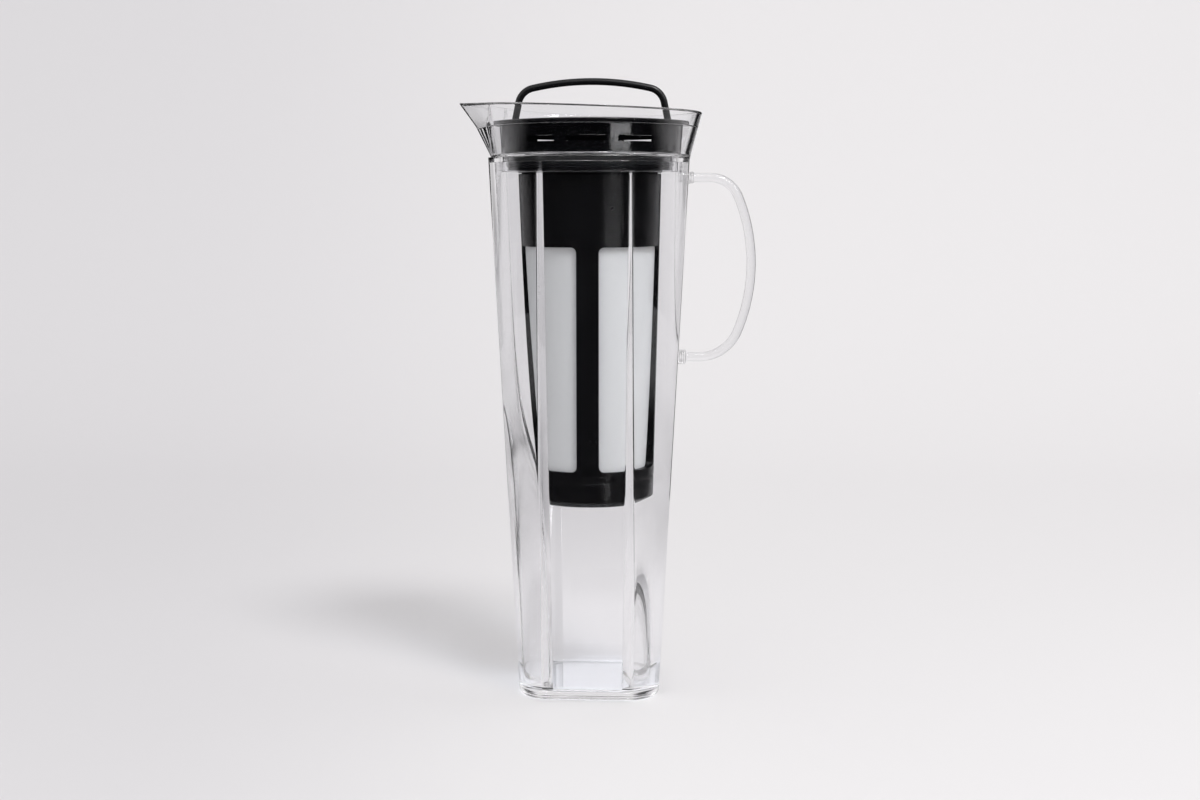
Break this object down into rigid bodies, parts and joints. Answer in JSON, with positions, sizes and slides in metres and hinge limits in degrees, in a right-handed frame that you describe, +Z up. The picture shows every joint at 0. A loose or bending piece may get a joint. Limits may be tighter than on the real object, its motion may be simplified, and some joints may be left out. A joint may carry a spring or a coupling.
{
  "type": "cold brew coffee maker",
  "caption": "Tall clear jug with a rounded square body, a flared collar with a spout, a slim D handle and a black lid that carries a windowed mesh infuser.",
  "frame": {"origin": "centre of the underside of the jug's base, on the jug's axis", "axes": "+Z up along the jug's axis, +X towards the handle, -X towards the spout, -Y towards the viewer"},
  "size_m": [0.1474, 0.1096, 0.3034],
  "materials": {
    "clear_body": "clear moulded copolyester, polished",
    "clear_handle": "clear moulded copolyester, polished",
    "lid_black": "black polypropylene, semi-gloss",
    "bail_black": "black coated wire, satin",
    "pin_steel": "turned steel",
    "silicone": "black food-grade silicone, satin",
    "filter_black": "black polypropylene, satin",
    "mesh_white": "fine woven white nylon mesh"
  },
  "bodies": {
    "jug": {"jug_body": "clear_body", "pour_collar": "clear_body", "handle_rod": "clear_handle", "handle_upper_boss": "clear_handle", "handle_lower_boss": "clear_handle"},
    "lid_seal": {"lid_gasket": "silicone"},
    "lid": {"lid_drum": "lid_black", "lid_cap": "lid_black", "lid_filter_socket": "lid_black", "bail_pivot_pins": "pin_steel"},
    "bail": {"bail_handle": "bail_black"},
    "filter_seal": {"filter_neck_seal": "silicone"},
    "filter": {"filter_frame": "filter_black", "filter_mesh": "mesh_white"},
    "filter_foot": {"filter_cap": "filter_black"}
  },
  "joints": [
    {"name": "lid_lift", "type": "slide", "parent": "jug", "child": "lid_seal", "axis": [0, 0, 1], "range_m": [0, 0.2]},
    {"name": "lid_turn", "type": "hinge", "parent": "lid_seal", "child": "lid", "pos_m": [0, 0, 0.27], "axis": [0, 0, 1], "range_deg": [0, 90]},
    {"name": "bail_fold", "type": "hinge", "parent": "lid", "child": "bail", "pos_m": [0, 0, 0.2806], "axis": [1, 0, 0], "range_deg": [-65, 65]},
    {"name": "filter_turn", "type": "hinge", "parent": "lid", "child": "filter_seal", "pos_m": [0, 0, 0.263], "axis": [0, 0, 1], "range_deg": [-30, 0]},
    {"name": "filter_drop", "type": "slide", "parent": "filter_seal", "child": "filter", "axis": [0, 0, -1], "range_m": [0, 0.015]},
    {"name": "cap_drop", "type": "slide", "parent": "filter", "child": "filter_foot", "axis": [0, 0, -1], "range_m": [0, 0.012]}
  ]
}
